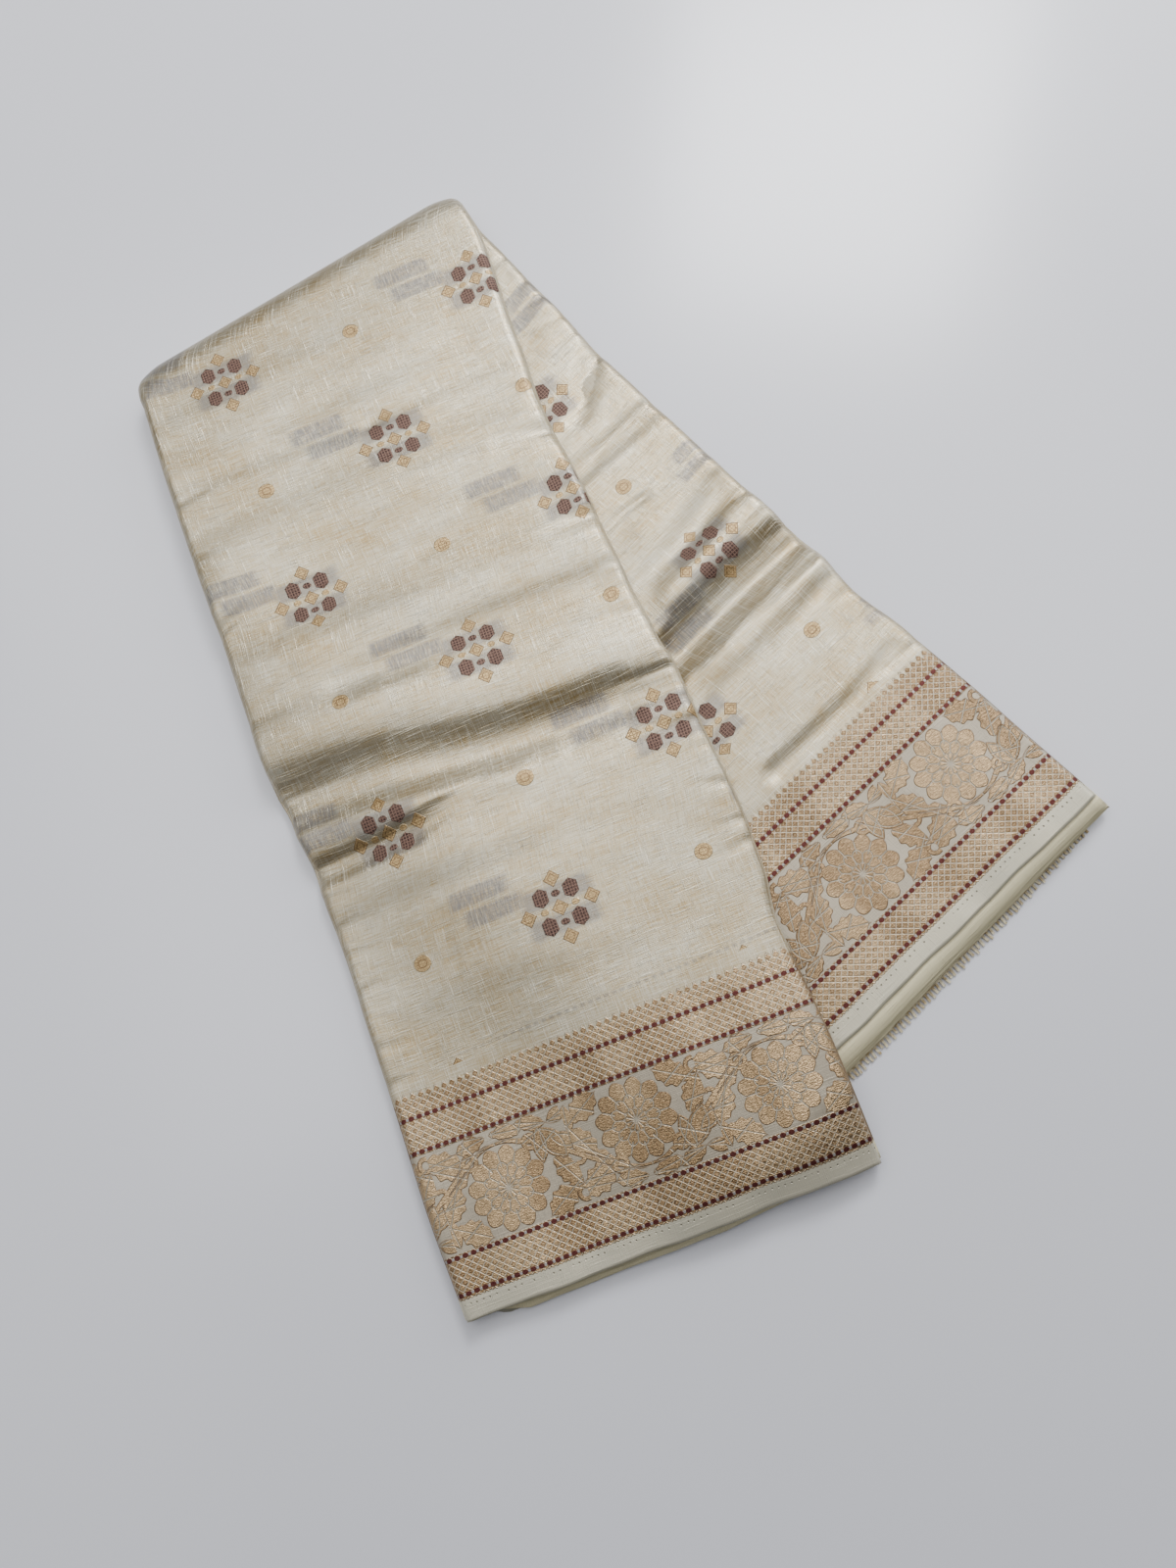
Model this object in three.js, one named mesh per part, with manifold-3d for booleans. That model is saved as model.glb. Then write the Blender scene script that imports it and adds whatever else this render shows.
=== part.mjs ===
// A saree folded flat. Its length is pleated to and fro into a bunch one pleat wide, and the bunch
// is folded once across its middle, a little askew, so that the back half fans out to the right
// from under the front half. Its face shows on top of both halves, with a woven border at each hem.
// Millimetres, +Z up, +Y from the front hem to the fold, +X to the right.
// The origin is on the surface that the bunch lies on, under the middle of its outline.

import * as THREE from "three";
import { mergeVertices } from "three/addons/utils/BufferGeometryUtils.js";
import Module from "manifold-3d";

// ---------------------------------------------------------------- driving sizes
const pleatWidth = 233; // one pleat of the bunch, from side to side
const bunchHeight = 11; // one half of the bunch, all its leaves together
const clothWall = 1.5; // an outer leaf's wall
const seamGap = 0.3; // between two pieces that meet
const halvesGap = 1; // between the front half and the back half under it
const foldReach = 570; // front left hem corner to the line where the bunch starts to turn
const foldBulge = 9; // the turn swells outwards by this much more than its height asks for
const foldSkew = THREE.MathUtils.degToRad(9.1); // slant of that line
const frontFoldAt = 600; // the front half is about this long, for the place of its edges there
const backFoldAt = { inner: 578, outer: 524 }; // and the back half along its two edges
const backSkew = THREE.MathUtils.degToRad(22.4); // how far the back half is turned to the right
const backCornerX = 414; // outer hem corner of the back half, from the front left hem corner
const backCornerY = 135;
const middleX = 203.45; // middle of the whole outline, from the front left hem corner
const middleY = 312.01;

// ---------------------------------------------------------------- how the leaves are cut and laid
const sideRadius = bunchHeight / 2; // the long sides are rounded over the whole height
const coreGap = clothWall + seamGap; // hidden layers start this far inside the faces
const coreEnd = 18; // hidden layers are one block up to this distance from a hem
const coreSetback = 0.5; // the block starts this much nearer the hem than its first station
const firstStation = 8; // next station of a half, further in than that block's end
const leafOverlap = 5; // each hem leaf runs this far into the block
const dropStart = 10; // the front half starts to sink this far past the back half's hem
const dropRun = 50; // and lies on the surface this much further out
const dropSpread = 2.2; // both are this many times as long beside the back half's inner edge
const cornerPull = 6; // the fold is set back by this much at its two ends
const cornerRun = 22; // and by less further in, up to here
const flatColumns = 8; // steps across the flat of a face
const rollAngles = [90, 55, 20]; // a face rolls down its long side, in degrees above the middle
const loopAngles = [-55, -20, -10, 0, 10, 20, 55]; // edges of the folded leaves on a long side
const loopGroove = 0.9; // grooves between them
const waveHeight = 0.45; // slow unevenness of the two top faces
const calmShare = 0.08; // creases fade out over this share of a half before the fold
const fullLift = 0.8 * bunchHeight; // cloth this far above a half's underside takes its full creases
const coverMargin = 3; // ridges of the back half stay this far outside the front half
const coverRun = 15; // and reach their full height over this distance
const fineStep = 12; // between stations where a half is creased
const coarseStep = 30; // and elsewhere
const frontHalf = { length: 603, busyFrom: 235, busyTo: 345 };
const backHalf = { length: 551, busyFrom: 190, busyTo: 295 };

// Edges of the front half, each at a distance y from its hem.
const frontEdges = [
  { y: -6, left: -2, right: 233 },
  { y: 60, left: -4, right: 232.5 },
  { y: 135, left: -3, right: 230 },
  { y: 165, left: -3, right: 234.5 },
  { y: 195, left: -2.5, right: 236 },
  { y: 262, left: -4, right: 233.5 },
  { y: 288, left: -7.3, right: 233 },
  { y: 308, left: -10.8, right: 229.5 },
  { y: 347, left: -11, right: 226.5 },
  { y: 390, left: -10.7, right: 224.5 },
  { y: 470, left: -11.5, right: 219 },
  { y: 516, left: -11.8, right: 221 },
  { y: 590, left: -10.5, right: 224.5 },
  { y: 625, left: -10, right: 221.5 },
];

// Edges of the back half, at a height up from its hem, both measured inwards from the straight
// line through its outer hem corner. The inner edge lies under the front half.
const backEdges = [
  { up: -22, outer: -2, inner: 233 },
  { up: 70, outer: -0.5, inner: 233 },
  { up: 136, outer: 1, inner: 233 },
  { up: 173, outer: 4.5, inner: 233 },
  { up: 204, outer: 2, inner: 233 },
  { up: 276, outer: 3, inner: 233 },
  { up: 386, outer: 2.2, inner: 232 },
  { up: 441, outer: -1.6, inner: 230 },
  { up: 498, outer: -4.7, inner: 227 },
  { up: 524, outer: -7.3, inner: 224 },
  { up: 578, outer: -7.3, inner: 221.3 },
];

// Creases of the front half, from (x1, y1) to (x2, y2): how high each end stands, troughs being
// negative, and how far it reaches to either side.
const frontCreases = [
  { x1: -20, y1: 303, x2: 60, y2: 293, rise1: -6, rise2: -5.8, reach: 20 },
  { x1: 60, y1: 293, x2: 195, y2: 281, rise1: -5.8, rise2: -5, reach: 19 },
  { x1: 195, y1: 281, x2: 228, y2: 278, rise1: -5, rise2: -1.5, reach: 15 },
  { x1: -20, y1: 329, x2: 70, y2: 321, rise1: 3, rise2: 3, reach: 20 },
  { x1: 70, y1: 321, x2: 228, y2: 302, rise1: 3, rise2: 1.8, reach: 20 },
  { x1: -10, y1: 273, x2: 150, y2: 267, rise1: 2, rise2: 1, reach: 15 },
  { x1: -15, y1: 254, x2: 60, y2: 254, rise1: -3.8, rise2: -2.4, reach: 11 },
  { x1: 60, y1: 254, x2: 112, y2: 268, rise1: -2.4, rise2: -0.4, reach: 9 },
  { x1: -10, y1: 236, x2: 120, y2: 234, rise1: 1.2, rise2: 0.8, reach: 18 },
  { x1: 50, y1: 342, x2: 215, y2: 346, rise1: -1.5, rise2: -1.5, reach: 14 },
  { x1: 40, y1: 367, x2: 215, y2: 369, rise1: 1, rise2: 1, reach: 16 },
  { x1: 0, y1: 404, x2: 200, y2: 408, rise1: -1.9, rise2: -1.5, reach: 26 },
  { x1: 10, y1: 451, x2: 200, y2: 455, rise1: 2, rise2: 1.4, reach: 26 },
  { x1: 182, y1: 396, x2: 236, y2: 389, rise1: -0.8, rise2: -2.4, reach: 12 },
  { x1: 190, y1: 452, x2: 232, y2: 448, rise1: -0.6, rise2: -2, reach: 12 },
];

// Creases of the back half, from (in1, up1) to (in2, up2): distances inwards and up from its hem.
const backCreases = [
  { in1: -6, up1: 219, in2: 112, up2: 218, rise1: -6.2, rise2: -6.6, reach: 22 },
  { in1: -4, up1: 247, in2: 112, up2: 247, rise1: 3.2, rise2: 3.4, reach: 20 },
  { in1: 10, up1: 200, in2: 105, up2: 197, rise1: 2.2, rise2: 1.6, reach: 15 },
  { in1: 14, up1: 272, in2: 50, up2: 260, rise1: -1.4, rise2: -2, reach: 14 },
  { in1: 50, up1: 260, in2: 100, up2: 256, rise1: -2, rise2: -1.6, reach: 14 },
  { in1: 10, up1: 286, in2: 95, up2: 282, rise1: 1.4, rise2: 1.2, reach: 15 },
  { in1: 16, up1: 133, in2: 50, up2: 128, rise1: -1, rise2: -2.6, reach: 12 },
  { in1: 50, up1: 128, in2: 112, up2: 129, rise1: -2.6, rise2: -3, reach: 12 },
  { in1: 0, up1: 338, in2: 100, up2: 340, rise1: -1.4, rise2: -2, reach: 12 },
  { in1: 2, up1: 392, in2: 40, up2: 366, rise1: -2, rise2: -1.4, reach: 12 },
];

// Slow waves of both top faces, in radians for each millimetre across and along.
const slowWaves = [
  { size: 1, perU: 0.032, perV: 0.021, shift: 0 },
  { size: 1, perU: -0.011, perV: 0.038, shift: 1 },
  { size: 0.6, perU: 0.059, perV: -0.017, shift: 2 },
];

// Leaves that show between the two faces at the hems, with how far each lies above the inner
// face of the bunch and where its own hem ends at four shares of the width. Behind the face's
// hem is positive, past it negative.
const hemShares = [0, 0.07, 0.62, 1];
const frontHemLeaves = [
  { low: 2, high: 3.4, ends: [3, -5, -4, 3] },
  { low: 3.9, high: 5.2, ends: [5, -2, -1, 4] },
  { low: 5.7, high: 7.1, ends: [2, 2.5, 1, 3] },
  { low: 7.6, high: 9, ends: [1.5, 0.8, 1.2, 2] },
];
const backHemLeaves = [
  { low: 2, high: 3.4, ends: [-9.5, -9.3, -7.5, -6.5] },
  { low: 3.9, high: 5.2, ends: [-11.5, -11.3, -9.6, -8.5] },
  { low: 5.7, high: 7.1, ends: [-12.8, -12.4, -10, -9] },
  { low: 7.6, high: 9, ends: [-8, -7.6, -6, -5] },
];
const topFaceEnds = [0, 0, 0, 0];
const frontBottomEnds = [4, -4, -3, 4];
const backBottomEnds = [-12, -11.8, -9, -7.5];

// Cut threads along the selvedge of the lowest leaf at the back hem.
const fringeFrom = 14; // first and last thread, inwards from the outer corner
const fringeTo = 226;
const fringePitch = 2.8;
const fringeThread = 1.4; // width of a lock of threads
const fringeThickness = 1;
const fringeRoot = 2; // strip that the threads are woven into
const fringeShort = 2; // length of a lock near the outer corner
const fringeLong = 5; // length of a lock near the front half
const fringeGrows = 90; // full length is reached this far from the outer corner
const fringeUneven = 0.2; // share of their length by which locks differ, shorter or longer
const fringeSlant = 0.5; // sideways lean of a lock's tip
const tipThickness = 0.6;
const tipLift = 0.3; // the tips hang this far above the surface

const ease = (t) => {
  const k = Math.min(1, Math.max(0, t));
  return k * k * (3 - 2 * k);
};
const mix = (from, to, share) => from + (to - from) * share;
const radians = THREE.MathUtils.degToRad;

// Value of a column in a table whose rows are ordered by the column named key.
function lookUp(rows, key, at, column) {
  const last = rows.length - 1;
  if (at <= rows[0][key]) return rows[0][column];
  if (at >= rows[last][key]) return rows[last][column];
  const next = rows.findIndex((row) => row[key] > at);
  const share = (at - rows[next - 1][key]) / (rows[next][key] - rows[next - 1][key]);
  return mix(rows[next - 1][column], rows[next][column], ease(share));
}

// ---------------------------------------------------------------- where the cloth lies
// A place across the bunch is a share of its width plus an offset from there, and its depth q
// runs from the inner face of the fold, 0, to the outer face, bunchHeight.

const frontX = (place, y) => {
  const left = lookUp(frontEdges, "y", y, "left");
  const right = lookUp(frontEdges, "y", y, "right");
  return mix(left, right, place.share) + place.offset;
};
const backInward = (place, up) => {
  const outer = lookUp(backEdges, "up", up, "outer");
  const inner = lookUp(backEdges, "up", up, "inner");
  return mix(inner, outer, place.share) - place.offset;
};
const backXY = (inward, up) => ({
  x: backCornerX - inward * Math.cos(backSkew) - up * Math.sin(backSkew),
  y: backCornerY - inward * Math.sin(backSkew) + up * Math.cos(backSkew),
});
const toBack = (x, y) => ({
  inward: -(x - backCornerX) * Math.cos(backSkew) - (y - backCornerY) * Math.sin(backSkew),
  up: -(x - backCornerX) * Math.sin(backSkew) + (y - backCornerY) * Math.cos(backSkew),
});

// The fold line is reached at this y on the front half, and at this height on the back half. Its
// two ends are rounded.
const endPull = (place) => {
  const fromLeft = place.share * pleatWidth + place.offset;
  const inside = Math.min(fromLeft, pleatWidth - fromLeft);
  return cornerPull * Math.max(0, 1 - inside / cornerRun) ** 2;
};
const frontFoldY = (place) => {
  const x = frontX(place, frontFoldAt);
  return (foldReach + x * Math.sin(foldSkew)) / Math.cos(foldSkew) - endPull(place);
};
const backFoldUp = (place) => {
  const inward = backInward(place, mix(backFoldAt.inner, backFoldAt.outer, place.share));
  const corner = backXY(inward, 0);
  const reached = corner.y * Math.cos(foldSkew) - corner.x * Math.sin(foldSkew);
  return (foldReach - reached) / Math.cos(backSkew - foldSkew) - endPull(place);
};

// Height of a table's creases at a point: each is a smooth bump about its line. The deepest
// trough and the highest ridge there count.
function creaseHeight(creases, u, v, names) {
  let deepest = 0;
  let highest = 0;
  for (const crease of creases) {
    const alongU = crease[names.u2] - crease[names.u1];
    const alongV = crease[names.v2] - crease[names.v1];
    const fromU = u - crease[names.u1];
    const fromV = v - crease[names.v1];
    const share = (fromU * alongU + fromV * alongV) / (alongU * alongU + alongV * alongV);
    const k = Math.min(1, Math.max(0, share));
    const distance = Math.hypot(fromU - k * alongU, fromV - k * alongV) / crease.reach;
    const rise = mix(crease.rise1, crease.rise2, k) * Math.max(0, 1 - distance * distance) ** 2;
    deepest = Math.min(deepest, rise);
    highest = Math.max(highest, rise);
  }
  return deepest + highest;
}
function wave(u, v) {
  let sum = 0;
  for (const { size, perU, perV, shift } of slowWaves) {
    sum += size * Math.sin(u * perU + v * perV + shift);
  }
  return waveHeight * sum;
}
// Share of a crease that cloth at this height above the flat underside of its half takes part in.
const lift = (height) => Math.min(1, Math.max(0, height - coreGap) / (fullLift - coreGap));

// Height of the front half's underside: over the back half, or down on the surface beside it.
function frontRest(x, y) {
  const { inward, up } = toBack(x, y);
  const besideInner = Math.max(0, inward - pleatWidth);
  const pastHem = Math.max(0, -up);
  const clearance = Math.hypot(besideInner / dropSpread, pastHem) - dropStart;
  return (bunchHeight + halvesGap) * (1 - ease(clearance / dropRun));
}

const frontNames = { u1: "x1", v1: "y1", u2: "x2", v2: "y2" };
const backNames = { u1: "in1", v1: "up1", u2: "in2", v2: "up2" };

function frontPoint(place, q, share, end) {
  const y = share * frontFoldY(place) + end;
  const x = frontX(place, y);
  const calm = ease((1 - share) / calmShare);
  const rise = (creaseHeight(frontCreases, x, y, frontNames) + wave(x, y)) * calm;
  return new THREE.Vector3(x, y, frontRest(x, y) + q + lift(q) * rise);
}

function turnPoint(place, q, turn) {
  const frontY = frontFoldY(place);
  const up = backFoldUp(place);
  const from = { x: frontX(place, frontY), y: frontY };
  const to = backXY(backInward(place, up), up);
  const share = ease(turn / Math.PI);
  const reach = (halvesGap / 2 + q + foldBulge) * Math.sin(turn);
  const z = bunchHeight + halvesGap / 2 + (halvesGap / 2 + q) * Math.cos(turn);
  const x = mix(from.x, to.x, share) - reach * Math.sin(foldSkew);
  const y = mix(from.y, to.y, share) + reach * Math.cos(foldSkew);
  return new THREE.Vector3(x, y, z);
}

function backPoint(place, q, share, end) {
  const up = share * backFoldUp(place) + end;
  const inward = backInward(place, up);
  const { x, y } = backXY(inward, up);
  const calm = ease((1 - share) / calmShare);
  const rise = (creaseHeight(backCreases, inward, up, backNames) + wave(up, inward)) * calm;
  const uncovered = x - frontX({ share: 1, offset: 0 }, y) - coverMargin;
  const allowed = rise > 0 ? rise * ease(uncovered / coverRun) : rise;
  return new THREE.Vector3(x, y, bunchHeight - q + lift(bunchHeight - q) * allowed);
}

// A station is one row of points across the bunch: on the front half, in the turn, or on the back.
const front = (share, ends) => ({ share, ends, point: frontPoint });
const back = (share, ends) => ({ share, ends, point: backPoint });
const turning = (angle) => ({ share: angle, ends: topFaceEnds, point: turnPoint });

// How far a row lies behind a hem, at a share of the width.
function endAt(ends, share) {
  const next = Math.max(1, hemShares.findIndex((at) => at >= share));
  const along = (share - hemShares[next - 1]) / (hemShares[next] - hemShares[next - 1]);
  return mix(ends[next - 1], ends[next], along);
}

// Stations of a half from the end of its hem leaves to the fold, closer together where it is
// creased. Its length and its creased stretch are measured from the hem.
function halfStations(make, half) {
  const distances = [coreEnd, coreEnd + firstStation];
  let at = coreEnd + firstStation;
  while (at < half.length) {
    at += at >= half.busyFrom && at < half.busyTo ? fineStep : coarseStep;
    distances.push(Math.min(at, half.length));
  }
  return distances.map((distance) => make(distance / half.length, topFaceEnds));
}

const frontRows = halfStations(front, frontHalf);
const backRows = halfStations(back, backHalf).reverse();

// ---------------------------------------------------------------- solids
function facesOut(geometry) {
  const at = geometry.getAttribute("position");
  const index = geometry.getIndex();
  const corner = (i) => new THREE.Vector3().fromBufferAttribute(at, index.getX(i));
  let volume = 0;
  for (let i = 0; i < index.count; i += 3) {
    volume += corner(i).dot(corner(i + 1).cross(corner(i + 2)));
  }
  if (volume < 0) {
    for (let i = 0; i < index.count; i += 3) {
      const second = index.getX(i + 1);
      index.setX(i + 1, index.getX(i + 2));
      index.setX(i + 2, second);
    }
  }
  return geometry;
}

// A closed outline across the bunch, carried along its stations and capped at both ends, cell by
// cell. Every quad is split from its left end at one station to its right end at the next, so
// that skins that lie on each other have the same facets.
function loft({ outline, cells }, stations) {
  const size = outline.length;
  const positions = [];
  for (const station of stations) {
    for (const spot of outline) {
      const end = endAt(station.ends, spot.share);
      positions.push(...station.point(spot, spot.q, station.share, end).toArray());
    }
  }
  const flat = outline.map((spot) => new THREE.Vector2(spot.share * pleatWidth + spot.offset, spot.q));
  const faces = [];
  const lastRow = (stations.length - 1) * size;
  for (const cell of cells) {
    const corners = cell.map((i) => flat[i]);
    for (const triangle of THREE.ShapeUtils.triangulateShape(corners, [])) {
      const [a, b, c] = triangle.map((corner) => cell[corner]);
      faces.push(a, b, c);
      faces.push(lastRow + a, lastRow + c, lastRow + b);
    }
  }
  for (let row = 0; row + 1 < stations.length; row += 1) {
    for (let i = 0; i < size; i += 1) {
      const a = row * size + i;
      const b = row * size + ((i + 1) % size);
      if (flat[i].x < flat[(i + 1) % size].x) {
        faces.push(a, a + size, b + size);
        faces.push(a, b + size, b);
      } else {
        faces.push(a, a + size, b);
        faces.push(b, a + size, b + size);
      }
    }
  }
  const geometry = new THREE.BufferGeometry();
  geometry.setAttribute("position", new THREE.Float32BufferAttribute(positions, 3));
  geometry.setIndex(faces);
  return facesOut(geometry);
}

// A point on the rounded long side, at an angle above its middle and a radius.
const sideSpot = (share, angle, radius) => ({
  share,
  offset: (share === 0 ? 1 : -1) * (sideRadius - radius * Math.cos(radians(angle))),
  q: sideRadius + radius * Math.sin(radians(angle)),
});

// The flat of a face between its rounded sides, from left to right.
function flatSpots(q, columns) {
  const spots = [];
  for (let column = 0; column <= columns; column += 1) {
    const share = column / columns;
    spots.push({ share, offset: sideRadius * (1 - 2 * share), q });
  }
  return spots;
}

// One skin of a face that rolls down both long sides. side is 1 for the outer face, -1 for the
// inner one.
function faceSkin(side, radius, columns) {
  const q = sideRadius + side * radius;
  const angles = rollAngles.slice(1);
  const leftRoll = angles.map((angle) => sideSpot(0, side * angle, radius)).reverse();
  const rightRoll = angles.map((angle) => sideSpot(1, side * angle, radius));
  return [...leftRoll, ...flatSpots(q, columns), ...rightRoll];
}

// An outline of two skins, the lower one first, with a cell between each two columns.
function strip(lower, upper) {
  const outline = [...lower, ...upper.toReversed()];
  const last = outline.length - 1;
  const cells = lower.slice(1).map((spot, i) => [i, i + 1, last - 1 - i, last - i]);
  return { outline, cells };
}

function faceOutline(side, columns) {
  const outside = faceSkin(side, sideRadius, columns);
  const inside = faceSkin(side, sideRadius - clothWall, columns);
  return side > 0 ? strip(inside, outside) : strip(outside, inside);
}

// The hidden layers: a block with the edges of folded leaves along both long sides.
function coreOutline() {
  const radius = sideRadius - coreGap;
  const loopSpots = (share) =>
    loopAngles.map((angle) => sideSpot(share, angle, angle % 20 === 0 ? radius - loopGroove : radius));
  const bottom = flatSpots(sideRadius - radius, flatColumns);
  const top = flatSpots(sideRadius + radius, flatColumns).reverse();
  const outline = [...bottom, ...loopSpots(1), ...top, ...loopSpots(0).reverse()];
  const topStart = bottom.length + loopAngles.length;
  const topEnd = topStart + flatColumns;
  const cells = bottom.slice(1).map((spot, i) => [i, i + 1, topEnd - 1 - i, topEnd - i]);
  const range = (from, to) => Array.from({ length: to - from + 1 }, (unused, i) => from + i);
  cells.push(range(flatColumns, topStart));
  cells.push([...range(topEnd, outline.length - 1), 0]);
  return { outline, cells };
}

// One leaf at a hem: a flat outline between two depths, kept clear of the rolled sides.
function leafOutline(low, high) {
  const radius = sideRadius - coreGap - loopGroove;
  const far = Math.max(Math.abs(low - sideRadius), Math.abs(high - sideRadius));
  const reach = Math.sqrt(Math.max(0, radius * radius - far * far));
  const inset = sideRadius - Math.max(reach, 2 * seamGap) + seamGap;
  const face = (q) => [
    { share: 0, offset: inset, q },
    ...flatSpots(q, flatColumns),
    { share: 1, offset: -inset, q },
  ];
  return strip(face(low), face(high));
}

// ---------------------------------------------------------------- joining
const wasm = await Module();
wasm.setup();

function toManifold(geometry) {
  const bare = geometry.clone();
  bare.deleteAttribute("normal");
  bare.deleteAttribute("uv");
  const merged = mergeVertices(bare, 1e-4);
  return new wasm.Manifold(
    new wasm.Mesh({
      numProp: 3,
      vertProperties: new Float32Array(merged.getAttribute("position").array),
      triVerts: new Uint32Array(merged.getIndex().array),
    }),
  );
}

function fromManifold(solid) {
  const mesh = solid.getMesh();
  const geometry = new THREE.BufferGeometry();
  geometry.setAttribute("position", new THREE.BufferAttribute(mesh.vertProperties, mesh.numProp));
  geometry.setIndex(new THREE.BufferAttribute(mesh.triVerts, 1));
  return geometry;
}

// The hidden layers of one half: a block from the fold to near the hem, and its hem leaves.
function hiddenLayers(make, length, leaves, rows) {
  let solid = toManifold(loft(coreOutline(), rows));
  const reached = [coreEnd, coreEnd + leafOverlap].map((at) => make(at / length, topFaceEnds));
  for (const leaf of leaves) {
    const leafRows = [make(0, leaf.ends), ...reached];
    solid = solid.add(toManifold(loft(leafOutline(leaf.low, leaf.high), leafRows)));
  }
  return fromManifold(solid);
}

// Cut threads: locks side by side, fused to a strip along the selvedge of the lowest leaf. The
// outline is drawn in plan, with spots at a distance inwards, offset, and up from the hem, q.
function fringe() {
  const count = Math.floor((fringeTo - fringeFrom) / fringePitch);
  const selvedge = (inward) => endAt(backBottomEnds, 1 - inward / pleatWidth) - seamGap;
  const spot = (inward, q, tip) => ({ share: 0, offset: inward, q, tip });
  const locks = [];
  const woven = [];
  const cells = [];
  for (let lock = 0; lock < count; lock += 1) {
    const near = fringeFrom + lock * fringePitch;
    const far = near + fringeThread;
    const root = selvedge(near) - fringeRoot;
    const uneven = 1 - fringeUneven * (1 - Math.sin(lock * 2.3) * Math.cos(lock * 0.7));
    const tip = root - mix(fringeShort, fringeLong, ease(near / fringeGrows)) * uneven;
    const slant = fringeSlant * Math.sin(lock * 1.7);
    const tips = [spot(near + slant, tip, true), spot(far + slant, tip, true)];
    locks.push(spot(near, root, false), ...tips, spot(far, root, false));
    woven.unshift(spot(far, selvedge(far), false), spot(near, selvedge(near), false));
    const first = 4 * lock;
    const wovenNear = 6 * count - 1 - 2 * lock;
    cells.push([first, first + 1, first + 2, first + 3]);
    cells.push([first, first + 3, wovenNear - 1, wovenNear]);
    if (lock + 1 < count) cells.push([first + 3, first + 4, wovenNear - 2, wovenNear - 1]);
  }
  const point = ({ offset, q, tip }, unused, height) => {
    const { x, y } = backXY(offset, q);
    const thickness = tip ? tipThickness : fringeThickness;
    return new THREE.Vector3(x, y, (tip ? tipLift : 0) + height * thickness);
  };
  const layers = [0, 1].map((share) => ({ share, ends: topFaceEnds, point }));
  return loft({ outline: [...locks, ...woven], cells }, layers);
}

// ---------------------------------------------------------------- the bunch
const silk = new THREE.Color(0xd9d5c3);
const creamSilk = new THREE.Color(0xd3ccae);
const bunch = new THREE.Group();
bunch.name = "folded_saree";
bunch.position.set(-middleX, -middleY, 0);

function addPiece(name, geometry, color) {
  geometry.computeVertexNormals();
  const material = new THREE.MeshStandardMaterial({ color, roughness: 0.42, metalness: 0.35 });
  const mesh = new THREE.Mesh(geometry, material);
  mesh.name = name;
  bunch.add(mesh);
}

// How far the fold turns over a seam at a given depth: across its middle, or where it starts.
const seamTurn = (q) => seamGap / (q + halvesGap / 2);
const outerSeam = seamTurn(bunchHeight - clothWall + foldBulge);
const innerSeam = seamTurn(clothWall / 2);
const coreSeam = seamTurn(coreGap);

// Stations round the fold, up to its middle and from there on, the same for every skin.
const quarterTurn = [Math.PI / 6, Math.PI / 3, Math.PI / 2 - innerSeam, Math.PI / 2 - coreSeam];
const beforeMiddle = quarterTurn.map(turning);
const afterMiddle = quarterTurn.map((angle) => turning(Math.PI - angle)).reverse();

const outerFace = faceOutline(1, flatColumns);
const innerFace = faceOutline(-1, flatColumns);
addPiece("front_panel", loft(outerFace, [front(0, topFaceEnds), ...frontRows]), silk);
const turnEnds = [turning(outerSeam), turning(Math.PI - outerSeam)];
const turnArc = [turnEnds[0], ...beforeMiddle, ...afterMiddle, turnEnds[1]];
addPiece("fold_turn", loft(outerFace, turnArc), silk);
addPiece("back_underside", loft(faceOutline(1, 1), [...backRows, back(0, backBottomEnds)]), silk);

const frontUnder = [front(0, frontBottomEnds), ...frontRows, ...beforeMiddle.slice(0, -1)];
addPiece("front_underside", loft(innerFace, frontUnder), silk);
const backOver = [...afterMiddle.slice(1), ...backRows, back(0, topFaceEnds)];
addPiece("back_panel", loft(innerFace, backOver), silk);

const frontBlock = [
  front((coreEnd - coreSetback) / frontHalf.length, topFaceEnds),
  ...frontRows,
  ...beforeMiddle,
];
const backBlock = [
  ...afterMiddle,
  ...backRows,
  back((coreEnd - coreSetback) / backHalf.length, topFaceEnds),
];
const frontLayers = hiddenLayers(front, frontHalf.length, frontHemLeaves, frontBlock);
const backLayers = hiddenLayers(back, backHalf.length, backHemLeaves, backBlock);
addPiece("front_inner_layers", frontLayers, creamSilk);
addPiece("back_inner_layers", backLayers, creamSilk);
addPiece("back_selvedge_fringe", fringe(), creamSilk);

export default bunch;
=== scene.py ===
"""A saree folded flat on a pale surface. Its length is pleated into a bunch and the bunch is folded
once across its middle, a little askew. Sizes are in millimetres until a mesh is made, measured from
the front left hem corner, +X to the right, +Y towards the fold and +Z up."""

import math

import bmesh
import bpy
import numpy as np
from mathutils import Matrix, Vector


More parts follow.
